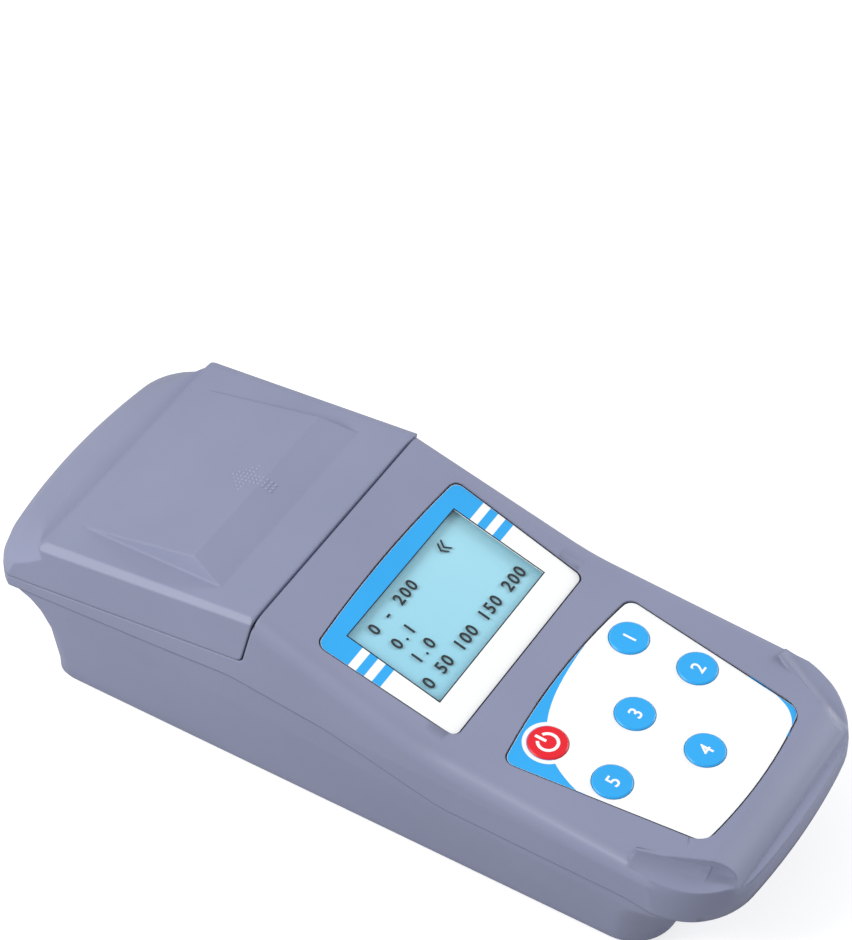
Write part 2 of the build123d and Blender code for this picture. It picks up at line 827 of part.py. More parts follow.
parts = {
    "top_housing": top_housing,
    "bottom_housing": bottom_housing,
    "lid": lid,
    "guide_rails": guide_rails,
    "light_seal": light_seal,
    "cell_holder": cell_holder,
    "well_collar": well_collar,
    "lamp": lamp,
    "lamp_lens": lamp_lens,
    "lamp_board": lamp_board,
    "sensor": sensor,
    "sensor_lens": sensor_lens,
    "sensor_board": sensor_board,
    "display_overlay": display_overlay,
    "display_window": display_window,
    "lcd_panel": lcd_panel,
    "lcd_bezel": lcd_bezel,
    "lcd_board": lcd_board,
    "keypad_overlay": keypad_overlay,
    "keypad_board": keypad_board,
    "tact_switches": tact_switches,
    "rubber_feet": rubber_feet,
    "case_screws": case_screws,
    "board_screws": board_screws,
    "keypad_screws": keypad_screws,
    "lcd_screws": lcd_screws,
    "holder_screws": holder_screws,
    "main_board": main_board,
    "controller_chip": controller_chip,
    "buzzer": buzzer,
    "flat_cables": flat_cables,
    "battery_tray": battery_tray,
    "battery_cells": battery_cells,
    "battery_springs": battery_springs,
    "battery_contacts": battery_contacts,
    "battery_cover": battery_cover,
    "cover_screws": cover_screws,
}
for name, make in parts.items():
    export_step(make(), "parts/" + name + ".step")
for name, (x, y) in keys.items():
    export_step(key_button(x, y), "parts/" + name + ".step")
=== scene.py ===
import math

import bmesh
import bpy
from mathutils import Matrix, Vector
from mathutils.bvhtree import BVHTree


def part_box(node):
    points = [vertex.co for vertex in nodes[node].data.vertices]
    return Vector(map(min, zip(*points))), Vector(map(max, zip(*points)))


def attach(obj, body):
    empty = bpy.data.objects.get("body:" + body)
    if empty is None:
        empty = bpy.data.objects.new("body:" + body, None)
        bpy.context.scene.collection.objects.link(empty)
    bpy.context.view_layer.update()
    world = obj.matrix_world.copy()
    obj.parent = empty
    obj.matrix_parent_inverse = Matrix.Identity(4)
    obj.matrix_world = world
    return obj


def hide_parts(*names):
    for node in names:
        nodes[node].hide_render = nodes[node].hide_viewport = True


# Lengths are in millimetres, apart from Blender's own and those of the frame
MM = 0.001

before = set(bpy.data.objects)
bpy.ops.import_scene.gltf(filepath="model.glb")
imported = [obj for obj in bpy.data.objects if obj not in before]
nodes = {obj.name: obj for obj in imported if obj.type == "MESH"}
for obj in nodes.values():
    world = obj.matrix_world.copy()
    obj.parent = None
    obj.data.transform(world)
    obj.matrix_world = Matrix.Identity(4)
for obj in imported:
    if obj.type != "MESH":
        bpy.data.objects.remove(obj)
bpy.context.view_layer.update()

# Faces that carry the labels, as the casing has them
DISPLAY_EDGE = Vector((0, 7.5, 61.5)) * MM
DISPLAY_SLOPE = 17.1
KEYPAD_SLOPE = 3.42
KEYPAD_RISE = math.tan(math.radians(KEYPAD_SLOPE))
KEYPAD_STRETCH = 1 / math.cos(math.radians(KEYPAD_SLOPE))
KEYPAD_MIDDLE_Y = -80.0
KEYPAD_MIDDLE = Vector((0, KEYPAD_MIDDLE_Y, 51.7 - 87.5 * KEYPAD_RISE)) * MM
KEYPAD_REAR_Y = -50.7
KEYPAD_FRONT_Y = -114.3

# Display window and the print round it
WINDOW_HALF = 30.3
WINDOW_REAR = 0.25
WINDOW_FRONT = -34.0
FRAME_LINE = (0.4, 0.35)
BAND_FRONT = -5.8
STRIPES = ((-11.5, -8.6), (-17.3, -14.3))
LINE_OUTER = 0.02
LINE_INNER = 0.42
PRINT_INSET = 0.5
PRINT_LOW = -0.03
PRINT_HIGH = 0.02

# Keys: middles, numbers and the signs' place over the keypad face
KEYS = {
    "power_key": (-23.85, -58.3),
    "right_upper_key": (23.85, -58.3),
    "left_lower_key": (-25.4, -81.1),
    "right_lower_key": (25.4, -81.1),
    "centre_key": (0.0, -74.1),
    "front_key": (0.0, -98.0),
}
KEY_NUMBERS = {
    "right_upper_key": "1",
    "right_lower_key": "2",
    "centre_key": "3",
    "front_key": "4",
    "left_lower_key": "5",
}
KEY_RADIUS = 6.2
NUMBER_HEIGHT = 4.6
RING_RADIUS = 7.7
RING_GAP = 0.2
CAP_TOP = 0.5
SIGN_LOW = CAP_TOP - 0.02
SIGN_HIGH = CAP_TOP + 0.03
HOOP_RADII = (3.6, 2.6)
HOOP_TURN = (118, 422)
BAR_HALF = 0.5
BAR_ENDS = (0.6, 4.4)
BAR_ROUND = 0.25

# Reading on the display: text, first character's place, and height
LCD_ROWS = [
    ("0 - 200", -21.6, -6.6, 4.0),
    ("0.1", -21.0, -14.6, 4.0),
    ("1.0", -21.0, -21.9, 4.0),
    ("0 50 100 150 200", -25.8, -29.5, 4.2),
]
LCD_PITCH = 3.47
LCD_TOP = -1.6
LCD_LOW = LCD_TOP - 0.03
LCD_HIGH = LCD_TOP + 0.02
FONT_SIZE = 1.37
NUMBER_WEIGHT = 0.06
LCD_WEIGHT = 0.12
CHEVRONS_AT = (15.3, 17.0)
CHEVRON = ((0.0, -4.9), (1.5, -2.7), (2.2, -2.7), (0.75, -4.9), (2.2, -7.1), (1.5, -7.1))

# Arrow of dots on the lid and ribs under the battery cover
ARROW_X = 2.2
ARROW_BASE_Y = 63.7
ARROW_SHAFT_ROWS = 6
ARROW_HEAD_ROWS = 5
DOT_PITCH = 1.45
DOT_HALF = (0.55, 0.55, 0.3)
DOT_SINK = 0.05
RIB_HALF = (11, 0.6, 0.45)
RIB_PITCH = 2.4
RIB_COUNT = 6
RIB_MARGIN = 8
RIB_SINK = 0.05

# Hollows at the front corners, as the casing has them
SCOOP_REAR = (50.0, -84.0)
SCOOP_FRONT = (30.0, -127.8)
SCOOP_ROUND = 5.0
SCOOP_FLOOR = (-150.0, 34.2, 0.2)
NOSE_CORNER = (23.6, -104.0, 24.4)
LINING_STATIONS = (-99, -102, -105, -108, -111, -114, -117, -119.5)
LINING_REACH = 47.9
LINING_SINK = 0.012
LINING_BACK = ((12, 0), (12, -1.4), (5.0, -1.4), (-0.8, 2.2))
LINING_SLANT = 0.91

# Creases sharper than these angles stay creases
CASING_CREASE = 20
LID_CREASE = 11
LINING_CREASE = 30
COPLANAR = 0.03

# Colours, as the light that the surface gives back
CASING = (0.240, 0.256, 0.372)
CASING_LIGHT = (0.252, 0.268, 0.388)
PRINT_BLUE = (0.030, 0.385, 0.830)
PRINT_WHITE = (0.93, 0.94, 0.93)
PRINT_DARK = (0.016, 0.017, 0.028)
LCD_TINT = (0.36, 0.72, 0.84)
# Painted shade on the display glass, the tone at its left front
LCD_PAINTED_SHADE = (0.27, 0.62, 0.78)
LCD_INK = (0.003, 0.004, 0.006)
LCD_INK_WORN = (0.007, 0.009, 0.012)
POWER_RED = (0.78, 0.012, 0.026)


def tint(colour, by):
    return tuple(c * by for c in colour)


# Materials
def new_finish(name):
    """New material with a principled shader: the material, its tree and the shader."""
    mat = bpy.data.materials.new(name)
    mat.use_nodes = True
    tree = mat.node_tree
    tree.nodes.clear()
    out = tree.nodes.new("ShaderNodeOutputMaterial")
    shader = tree.nodes.new("ShaderNodeBsdfPrincipled")
    tree.links.new(shader.outputs[0], out.inputs[0])
    return mat, tree, shader


def noise(tree, scale, detail=2.0, stretch=(1, 1, 1)):
    """Noise on the object's own coordinates, in cells per metre."""
    coord = tree.nodes.new("ShaderNodeTexCoord")
    place = tree.nodes.new("ShaderNodeMapping")
    place.inputs["Scale"].default_value = stretch
    cells = tree.nodes.new("ShaderNodeTexNoise")
    cells.inputs["Scale"].default_value = scale
    cells.inputs["Detail"].default_value = detail
    tree.links.new(coord.outputs["Object"], place.inputs["Vector"])
    tree.links.new(place.outputs["Vector"], cells.inputs["Vector"])
    return cells.outputs["Fac"]


def mixed(tree, factor, one, two, low=0.35, high=0.65):
    """Colour that runs from one to two as the factor rises from low to high."""
    ramp = tree.nodes.new("ShaderNodeValToRGB")
    for element, place, colour in zip(ramp.color_ramp.elements, (low, high), (one, two)):
        element.position = place
        element.color = (*colour, 1)
    tree.links.new(factor, ramp.inputs["Fac"])
    return ramp.outputs["Color"]


def spread(tree, factor, low, high):
    """Number that runs from low to high as the factor goes from 0 to 1."""
    node = tree.nodes.new("ShaderNodeMapRange")
    node.inputs["To Min"].default_value = low
    node.inputs["To Max"].default_value = high
    tree.links.new(factor, node.inputs["Value"])
    return node.outputs["Result"]


def bumped(tree, shader, height, depth, edge):
    """Fine relief of a given depth, over creases that look rounded to a radius."""
    bump = tree.nodes.new("ShaderNodeBump")
    bump.inputs["Strength"].default_value = 1.0
    bump.inputs["Distance"].default_value = depth * MM
    if edge:
        soft = tree.nodes.new("ShaderNodeBevel")
        soft.samples = 6
        soft.inputs["Radius"].default_value = edge * MM
        tree.links.new(soft.outputs["Normal"], bump.inputs["Normal"])
    tree.links.new(height, bump.inputs["Height"])
    tree.links.new(bump.outputs["Normal"], shader.inputs["Normal"])


def finish_of(name, one, two, grain, rough, relief=0.0, metal=0.0, specular=0.5, cloud=25.0,
              coat=0.0, stretch=(1, 1, 1), edge=0.0):
    """Cloudy tone, and a grain that varies the gloss and, where asked, gives a fine relief."""
    mat, tree, shader = new_finish(name)
    tone = mixed(tree, noise(tree, cloud, 3.0), one, two)
    fine = noise(tree, grain, 3.0, stretch)
    tree.links.new(tone, shader.inputs["Base Color"])
    tree.links.new(spread(tree, fine, rough - 0.06, rough + 0.06), shader.inputs["Roughness"])
    shader.inputs["Metallic"].default_value = metal
    shader.inputs["Specular IOR Level"].default_value = specular
    shader.inputs["Coat Weight"].default_value = coat
    if relief:
        bumped(tree, shader, fine, relief, edge)
    return mat


def clear_finish(name, colour, alpha, rough):
    """Clear piece: mostly see-through, with a faint tone and a gloss."""
    mat, tree, shader = new_finish(name)
    tree.links.new(mixed(tree, noise(tree, 60), colour, tint(colour, 0.97)), shader.inputs["Base Color"])
    tree.links.new(spread(tree, noise(tree, 900), rough, rough + 0.04), shader.inputs["Roughness"])
    shader.inputs["Alpha"].default_value = alpha
    shader.inputs["IOR"].default_value = 1.49
    return mat


def lcd_finish():
    """Display glass: pale blue, with painted shade that darkens it towards the left and a little towards the
    front.
    """
    mat, tree, shader = new_finish("lcd_glass")
    coord = tree.nodes.new("ShaderNodeTexCoord")
    place = tree.nodes.new("ShaderNodeMapping")
    place.inputs["Location"].default_value = (0.58, 0.62, 0)
    place.inputs["Scale"].default_value = (11.0, -16.0, 0)
    place.inputs["Rotation"].default_value = (0, 0, math.radians(18))
    ramp = tree.nodes.new("ShaderNodeTexGradient")
    tree.links.new(coord.outputs["Object"], place.inputs["Vector"])
    tree.links.new(place.outputs["Vector"], ramp.inputs["Vector"])
    # Painted shade: the glass runs from the shaded tone at the left front to the plain tone at the right
    # rear
    tone = mixed(tree, ramp.outputs["Fac"], LCD_PAINTED_SHADE, LCD_TINT, 0.0, 1.0)
    tree.links.new(tone, shader.inputs["Base Color"])
    tree.links.new(spread(tree, noise(tree, 1400), 0.30, 0.40), shader.inputs["Roughness"])
    return mat


casing = finish_of("casing_satin", CASING, CASING_LIGHT, 2600, 0.46, 0.03, specular=0.42, edge=1.1)
# Lighter copy of the casing colour: a painted highlight on the raised dots of the lid's arrow
casing_painted_highlight = finish_of(
    "casing_painted_highlight", tint(CASING, 1.12), tint(CASING, 1.22), 2600, 0.42, 0.01, specular=0.45
)
film_white = finish_of(
    "film_white", tint(PRINT_WHITE, 0.985), PRINT_WHITE, 1800, 0.34, 0.006, specular=0.4
)
film_blue = finish_of(
    "film_blue", tint(PRINT_BLUE, 0.97), tint(PRINT_BLUE, 1.03), 1800, 0.36, 0.006, specular=0.35
)
film_dark = finish_of("film_dark", PRINT_DARK, tint(PRINT_DARK, 1.4), 1800, 0.45, specular=0.3)
lcd_ink = finish_of("lcd_ink", LCD_INK, LCD_INK_WORN, 1800, 0.6, specular=0.1)
red_cap = finish_of("red_cap", tint(POWER_RED, 0.96), POWER_RED, 1600, 0.36, 0.006, specular=0.4)
black_plastic = finish_of(
    "black_plastic", (0.014, 0.014, 0.017), (0.022, 0.022, 0.026), 1800, 0.48, 0.03
)
rubber = finish_of(
    "rubber_matte", (0.016, 0.016, 0.017), (0.026, 0.026, 0.027), 1500, 0.78, 0.06, specular=0.25
)
foam = finish_of(
    "foam_open", (0.010, 0.010, 0.011), (0.024, 0.024, 0.026), 1300, 0.92, 0.2, specular=0.1
)
steel = finish_of(
    "steel_zinc", (0.50, 0.50, 0.51), (0.60, 0.60, 0.61), 900, 0.30, 0.01, metal=1.0, stretch=(1, 9, 1)
)
nickel = finish_of(
    "nickel_bright", (0.60, 0.58, 0.54), (0.70, 0.68, 0.64), 900, 0.22, 0.005, metal=1.0
)
board_green = finish_of(
    "board_green", (0.012, 0.105, 0.040), (0.020, 0.150, 0.060), 700, 0.34, 0.02, cloud=420
)
cell_wrap = finish_of(
    "cell_wrap", (0.020, 0.030, 0.110), (0.030, 0.042, 0.150), 500, 0.26, 0.008, coat=0.2
)
cable = finish_of("cable_grey", (0.30, 0.31, 0.33), (0.40, 0.41, 0.43), 900, 0.45, 0.02)
window_clear = clear_finish("window_clear", (0.72, 0.86, 0.90), 0.05, 0.08)
lens_clear = clear_finish("lens_clear", (0.80, 0.86, 0.88), 0.45, 0.05)
lcd_glass = lcd_finish()

NODE_FINISH = {
    casing: ["top_housing", "bottom_housing", "lid", "battery_cover"],
    film_white: ["display_overlay", "keypad_overlay"],
    film_blue: list(KEY_NUMBERS),
    red_cap: ["power_key"],
    black_plastic: [
        "cell_holder", "well_collar", "sensor", "tact_switches", "controller_chip", "buzzer", "battery_tray"
    ],
    rubber: ["rubber_feet"],
    foam: ["light_seal"],
    steel: [
        "guide_rails", "lcd_bezel", "case_screws", "board_screws", "keypad_screws", "lcd_screws",
        "holder_screws", "cover_screws",
    ],
    nickel: ["battery_springs", "battery_contacts"],
    board_green: ["lcd_board", "keypad_board", "main_board", "lamp_board", "sensor_board"],
    cell_wrap: ["battery_cells"],
    cable: ["flat_cables"],
    window_clear: ["display_window"],
    lens_clear: ["lamp", "lamp_lens", "sensor_lens"],
    lcd_glass: ["lcd_panel"],
}
for material, names in NODE_FINISH.items():
    for name in names:
        mesh = nodes[name].data
        mesh.materials.clear()
        mesh.materials.append(material)


# Making of pieces
def placed(obj):
    bpy.context.scene.collection.objects.link(obj)
    return obj


def baked(obj):
    """Plain mesh of an object as it is evaluated; the object itself goes."""
    bpy.context.view_layer.update()
    depsgraph = bpy.context.evaluated_depsgraph_get()
    mesh = bpy.data.meshes.new_from_object(obj.evaluated_get(depsgraph))
    bpy.data.objects.remove(obj)
    return mesh


def new_piece(name, mesh, material, body):
    """Object for a finished mesh that lies in the row frame, riding on its body."""
    mesh.materials.clear()
    mesh.materials.append(material)
    obj = placed(bpy.data.objects.new(name, mesh))
    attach(obj, body)
    return obj


def joined(name, meshes, material, body):
    """One piece of several meshes."""
    work = bmesh.new()
    for mesh in meshes:
        work.from_mesh(mesh)
        bpy.data.meshes.remove(mesh)
    whole = bpy.data.meshes.new(name)
    work.to_mesh(whole)
    work.free()
    return new_piece(name, whole, material, body)


def face_matrix(origin, slope):
    """Places what is drawn as (across, up the face, out of it) on a sloped face."""
    return Matrix.Translation(origin) @ Matrix.Rotation(math.radians(slope), 4, "X")


display_face = face_matrix(DISPLAY_EDGE, DISPLAY_SLOPE)
keypad_face = face_matrix(KEYPAD_MIDDLE, KEYPAD_SLOPE)


def solid_of_curve(curve, middle, place):
    """Mesh of a filled curve or text, welded and set on its face."""
    mesh = baked(placed(bpy.data.objects.new("drawn", curve)))
    work = bmesh.new()
    work.from_mesh(mesh)
    bmesh.ops.remove_doubles(work, verts=work.verts, dist=1e-7)
    bmesh.ops.recalc_face_normals(work, faces=work.faces)
    work.transform(place @ Matrix.Translation((0, 0, middle * MM)))
    work.to_mesh(mesh)
    work.free()
    return mesh


def flat_solid(name, loops, low, high, place):
    """Closed thin solid of flat outlines; the inner ones are holes."""
    curve = bpy.data.curves.new(name, "CURVE")
    curve.dimensions = "2D"
    curve.fill_mode = "BOTH"
    curve.extrude = (high - low) / 2 * MM
    for loop in loops:
        line = curve.splines.new("POLY")
        line.points.add(len(loop) - 1)
        for point, (u, v) in zip(line.points, loop):
            point.co = (u * MM, v * MM, 0, 1)
        line.use_cyclic_u = True
    return solid_of_curve(curve, (low + high) / 2, place)


def printed(name, loops, material, face, body="meter", low=PRINT_LOW, high=PRINT_HIGH):
    """Flat print on a face."""
    return new_piece(name, flat_solid(name, loops, low, high, face), material, body)


def glyphs(name, rows, material, face, body, low, high, pitch, weight):
    """Rows of characters, each row as (text, u, v, height), spaced evenly."""
    meshes = []
    for text, u, v, size in rows:
        for k, letter in enumerate(text):
            if letter == " ":
                continue
            curve = bpy.data.curves.new(name, "FONT")
            curve.body = letter
            curve.size = size * FONT_SIZE * MM
            curve.align_x = "CENTER"
            curve.extrude = (high - low) / 2 * MM
            curve.offset = weight * MM
            curve.resolution_u = 4
            shift = Matrix.Translation(((u + k * pitch) * MM, v * MM, 0))
            meshes.append(solid_of_curve(curve, (low + high) / 2, face @ shift))
    return joined(name, meshes, material, body)


# Outlines
def rounded(corners, steps=8):
    """Outline of corners given as (u, v, radius), turned counterclockwise."""
    outline = []
    count = len(corners)
    for i, (u, v, radius) in enumerate(corners):
        here = Vector((u, v))
        if not radius:
            outline.append((u, v))
            continue
        before = (Vector(corners[i - 1][:2]) - here).normalized()
        after = (Vector(corners[(i + 1) % count][:2]) - here).normalized()
        half = before.angle(after) / 2
        centre = here + (before + after).normalized() * radius / math.sin(half)
        reach = radius / math.tan(half)
        start = here + before * reach - centre
        end = here + after * reach - centre
        sweep = math.atan2(start.x * end.y - start.y * end.x, start.dot(end))
        for k in range(steps + 1):
            turn = sweep * k / steps
            c, s = math.cos(turn), math.sin(turn)
            outline.append((centre.x + start.x * c - start.y * s, centre.y + start.x * s + start.y * c))
    return outline


def rectangle(half, front, rear, radius=0):
    corners = [(-half, front), (half, front), (half, rear), (-half, rear)]
    return rounded([(u, v, radius) for u, v in corners])


def arc(centre, radius, begin, end, steps=48):
    """Points on a circle from one angle to another, in degrees."""
    turns = [math.radians(begin + (end - begin) * k / steps) for k in range(steps + 1)]
    return [(centre[0] + radius * math.cos(t), centre[1] + radius * math.sin(t)) for t in turns]


def circle(centre, radius, steps=72):
    return arc(centre, radius, 0, 360 - 360 / steps, steps - 1)


def label_outline(rear, front, inset):
    """Label outline of two ends, each as (half width, place, bow, corner radius)."""
    rear_half, rear_v, rear_bow, rear_round = rear
    front_half, front_v, front_bow, front_round = front
    rear_half, rear_v = rear_half - inset, rear_v - inset
    front_half, front_v = front_half - inset, front_v + inset
    steps = 14
    corners = [(front_half, front_v, front_round), (rear_half, rear_v, rear_round)]
    for k in range(1, steps):
        t = 1 - 2 * k / steps
        corners.append((rear_half * t, rear_v + rear_bow * (1 - t * t), 0))
    corners += [(-rear_half, rear_v, rear_round), (-front_half, front_v, front_round)]
    for k in range(1, steps):
        t = 2 * k / steps - 1
        corners.append((front_half * t, front_v - front_bow * (1 - t * t), 0))
    return rounded(corners)


def display_label(inset):
    return label_outline((39.3, 5.5, 1.6, 3.0), (37.3, -44.2, 0.01, 2.6), inset)


def keypad_label(inset):
    rear = (KEYPAD_REAR_Y - KEYPAD_MIDDLE_Y) * KEYPAD_STRETCH
    front = (KEYPAD_FRONT_Y - KEYPAD_MIDDLE_Y) * KEYPAD_STRETCH
    return label_outline((37.45, rear, 3.0, 3.2), (29.4, front, 2.5, 4.4), inset)


def cut_outline(outline, keep):
    """Part of an outline on the side of a line where keep is positive."""
    kept = []
    for a, b in zip(outline, outline[1:] + outline[:1]):
        da, db = keep(a), keep(b)
        if da >= 0:
            kept.append(a)
        if (da >= 0) != (db >= 0):
            t = da / (da - db)
            kept.append((a[0] + (b[0] - a[0]) * t, a[1] + (b[1] - a[1]) * t))
    return kept


def path_through(points, steps=10):
    """Smooth path through a few points."""
    line = []
    last = len(points) - 1
    for i in range(last):
        p0, p1, p2, p3 = (Vector(points[min(max(k, 0), last)]) for k in range(i - 1, i + 3))
        for k in range(steps):
            t = k / steps
            a = 2 * p1 + (p2 - p0) * t + (2 * p0 - 5 * p1 + 4 * p2 - p3) * t * t
            a = a + (3 * p1 - p0 - 3 * p2 + p3) * t ** 3
            line.append((a.x / 2, a.y / 2))
    return line + [points[-1]]


def dense(outline, step=0.6):
    """Outline with points no further apart than about the step."""
    line = []
    for a, b in zip(outline, outline[1:] + outline[:1]):
        count = max(1, int(math.dist(a, b) / step))
        line += [(a[0] + (b[0] - a[0]) * k / count, a[1] + (b[1] - a[1]) * k / count) for k in range(count)]
    return line


def corner_region(outline, path):
    """Region between a path and the stretch of the outline from its end on to its beginning."""
    places = range(len(outline))
    first, last = (min(places, key=lambda i: math.dist(outline[i], p)) for p in (path[-1], path[0]))
    if last < first:
        last += len(outline)
    return path + [outline[i % len(outline)] for i in range(first, last + 1)]


# Print on the display label
film_edge = display_label(PRINT_INSET)
for side, hand in ((1, "right"), (-1, "left")):
    for number, (low, high) in enumerate(STRIPES, 1):
        stripe = cut_outline(film_edge, lambda p: p[0] * side - WINDOW_HALF)
        stripe = cut_outline(stripe, lambda p: p[1] - low)
        stripe = cut_outline(stripe, lambda p: high - p[1])
        printed("display_stripe_%d_%s" % (number, hand), [stripe], film_blue, display_face)
window_notch = [
    (-WINDOW_HALF, BAND_FRONT),
    (-WINDOW_HALF, WINDOW_REAR),
    (WINDOW_HALF, WINDOW_REAR),
    (WINDOW_HALF, BAND_FRONT),
]
band = cut_outline(film_edge, lambda p: p[1] - BAND_FRONT) + window_notch
printed("display_band", [band], film_blue, display_face)
printed("display_edge_line", [display_label(LINE_OUTER), display_label(LINE_INNER)], film_dark, display_face)
side_line, end_line = FRAME_LINE
window_frame = [
    rectangle(WINDOW_HALF, WINDOW_FRONT, WINDOW_REAR),
    rectangle(WINDOW_HALF - side_line, WINDOW_FRONT + end_line, WINDOW_REAR - end_line),
]
printed("display_frame", window_frame, film_dark, display_face)

# Print on the keypad label
printed("keypad_edge_line", [keypad_label(LINE_OUTER), keypad_label(LINE_INNER)], film_dark, keypad_face)
rear_curve = path_through(
    [
        (-34.6, 3.5), (-32.9, 9.0), (-29.5, 15.5), (-24.2, 21.4), (-17.3, 25.9), (-9.0, 28.8),
        (0.0, 30.4), (9.0, 31.2), (14.0, 31.35),
    ]
)
front_curve = path_through(
    [(32.1, -16.0), (31.0, -21.5), (29.4, -27.0), (27.2, -31.2), (23.5, -34.3), (18.0, -36.1)]
)
film_edge = dense(keypad_label(PRINT_INSET))
printed("keypad_corner_rear", [corner_region(film_edge, rear_curve)], film_blue, keypad_face)
printed("keypad_corner_front", [corner_region(film_edge, front_curve)], film_blue, keypad_face)


def key_place(key):
    """Key's middle on the keypad face, along the face."""
    x, y = KEYS[key]
    return x, (y - KEYPAD_MIDDLE_Y) * KEYPAD_STRETCH


power_at = key_place("power_key")
ring = [circle(power_at, RING_RADIUS), circle(power_at, KEY_RADIUS + RING_GAP)]
printed("power_ring", ring, film_white, keypad_face, high=2 * PRINT_HIGH)

# Signs on the keys
for key, number in KEY_NUMBERS.items():
    u, v = key_place(key)
    row = (number, u, v - NUMBER_HEIGHT / 2, NUMBER_HEIGHT)
    glyphs(
        key + "_number", [row], film_white, keypad_face, key,
        SIGN_LOW, SIGN_HIGH, 1.0, NUMBER_WEIGHT,
    )

hoop = arc(power_at, HOOP_RADII[0], *HOOP_TURN, 40) + arc(power_at, HOOP_RADII[1], *HOOP_TURN[::-1], 40)
bar = rectangle(BAR_HALF, *BAR_ENDS, BAR_ROUND)
bar = [(u + power_at[0], v + power_at[1]) for u, v in bar]
printed("standby_sign", [hoop, bar], film_white, keypad_face, "power_key", SIGN_LOW, SIGN_HIGH)

# Reading on the display: plain numbers in four rows, and a double chevron
glyphs(
    "lcd_numbers", LCD_ROWS, lcd_ink, display_face, "meter",
    LCD_LOW, LCD_HIGH, LCD_PITCH, LCD_WEIGHT,
)
chevrons = [[(at + u, v) for u, v in CHEVRON] for at in CHEVRONS_AT]
printed("lcd_pointer", chevrons, lcd_ink, display_face, "meter", LCD_LOW, LCD_HIGH)


# Raised dots on the lid and grip ribs under the battery cover
def domes_tree(name):
    """Geometry tree that sets a small dome or ridge on every point of a pattern."""
    tree = bpy.data.node_groups.new(name, "GeometryNodeTree")
    socket = tree.interface.new_socket
    socket("Geometry", in_out="INPUT", socket_type="NodeSocketGeometry")
    socket("Half size", in_out="INPUT", socket_type="NodeSocketVector")
    socket("Finish", in_out="INPUT", socket_type="NodeSocketMaterial")
    socket("Geometry", in_out="OUTPUT", socket_type="NodeSocketGeometry")
    add = tree.nodes.new
    link = tree.links.new
    given, out = add("NodeGroupInput"), add("NodeGroupOutput")
    ball = add("GeometryNodeMeshUVSphere")
    ball.inputs["Segments"].default_value = 16
    ball.inputs["Rings"].default_value = 10
    form = add("GeometryNodeTransform")
    spots = add("GeometryNodeInstanceOnPoints")
    real = add("GeometryNodeRealizeInstances")
    paint = add("GeometryNodeSetMaterial")
    link(ball.outputs["Mesh"], form.inputs["Geometry"])
    link(given.outputs["Half size"], form.inputs["Scale"])
    link(given.outputs["Geometry"], spots.inputs["Points"])
    link(form.outputs["Geometry"], spots.inputs["Instance"])
    link(spots.outputs["Instances"], real.inputs["Geometry"])
    link(real.outputs["Geometry"], paint.inputs["Geometry"])
    link(given.outputs["Finish"], paint.inputs["Material"])
    link(paint.outputs["Geometry"], out.inputs["Geometry"])
    return tree


def grown(name, points, tree, half_size, finish):
    """Plain mesh that a geometry tree makes of a set of points."""
    seeds = bpy.data.meshes.new(name)
    seeds.from_pydata([tuple(c * MM for c in point) for point in points], [], [])
    obj = placed(bpy.data.objects.new(name, seeds))
    modifier = obj.modifiers.new("grow", "NODES")
    modifier.node_group = tree
    inputs = {"Half size": [c * MM for c in half_size], "Finish": finish}
    for item in tree.interface.items_tree:
        if item.in_out == "INPUT" and item.name in inputs:
            modifier[item.identifier] = inputs[item.name]
    mesh = baked(obj)
    mesh.shade_smooth()
    return mesh


lid_mesh = nodes["lid"].data
lid_skin = BVHTree.FromPolygons([v.co for v in lid_mesh.vertices], [p.vertices for p in lid_mesh.polygons])


def on_lid_top(x, y):
    """Point just under the lid's upper surface at a place."""
    above = Vector((x * MM, y * MM, 0.2))
    hit = lid_skin.ray_cast(above, Vector((0, 0, -1)))[0]
    return x, y, hit.z / MM - DOT_SINK


def arrow_points():
    """Dots of the arrow: a triangle that points to the rear over a short shaft."""
    points = []
    for row in range(-ARROW_SHAFT_ROWS, ARROW_HEAD_ROWS):
        half = ARROW_HEAD_ROWS - 1 - row if row >= 0 else 1
        for k in range(-half, half + 1):
            points.append(on_lid_top(ARROW_X + k * DOT_PITCH, ARROW_BASE_Y + row * DOT_PITCH))
    return points


domes = domes_tree("domes")
# The dots take the lighter casing copy, a painted highlight on their tops
dots = grown("arrow_dots", arrow_points(), domes, DOT_HALF, casing_painted_highlight)
new_piece("arrow_dots", dots, casing_painted_highlight, "lid")

cover_low, cover_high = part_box("battery_cover")
cover_x = (cover_low[0] + cover_high[0]) / 2 / MM
first_rib = cover_high[1] / MM - RIB_MARGIN
rib_level = cover_low[2] / MM + RIB_SINK
rib_points = [(cover_x, first_rib - RIB_PITCH * k, rib_level) for k in range(RIB_COUNT)]
ribs = grown("cover_grip", rib_points, domes, RIB_HALF, casing)
new_piece("cover_grip", ribs, casing, "meter")


# Linings that close the hollows at the front corners from within
def scoop_floor(y):
    start, level, slope = SCOOP_FLOOR
    return level + slope * (y - start)


def scoop_reach(y):
    """How far out the lining may go and still lie under the rim."""
    corner_x, corner_y, radius = NOSE_CORNER
    return min(LINING_REACH, corner_x + math.sqrt(radius ** 2 - min(y - corner_y, 0) ** 2))


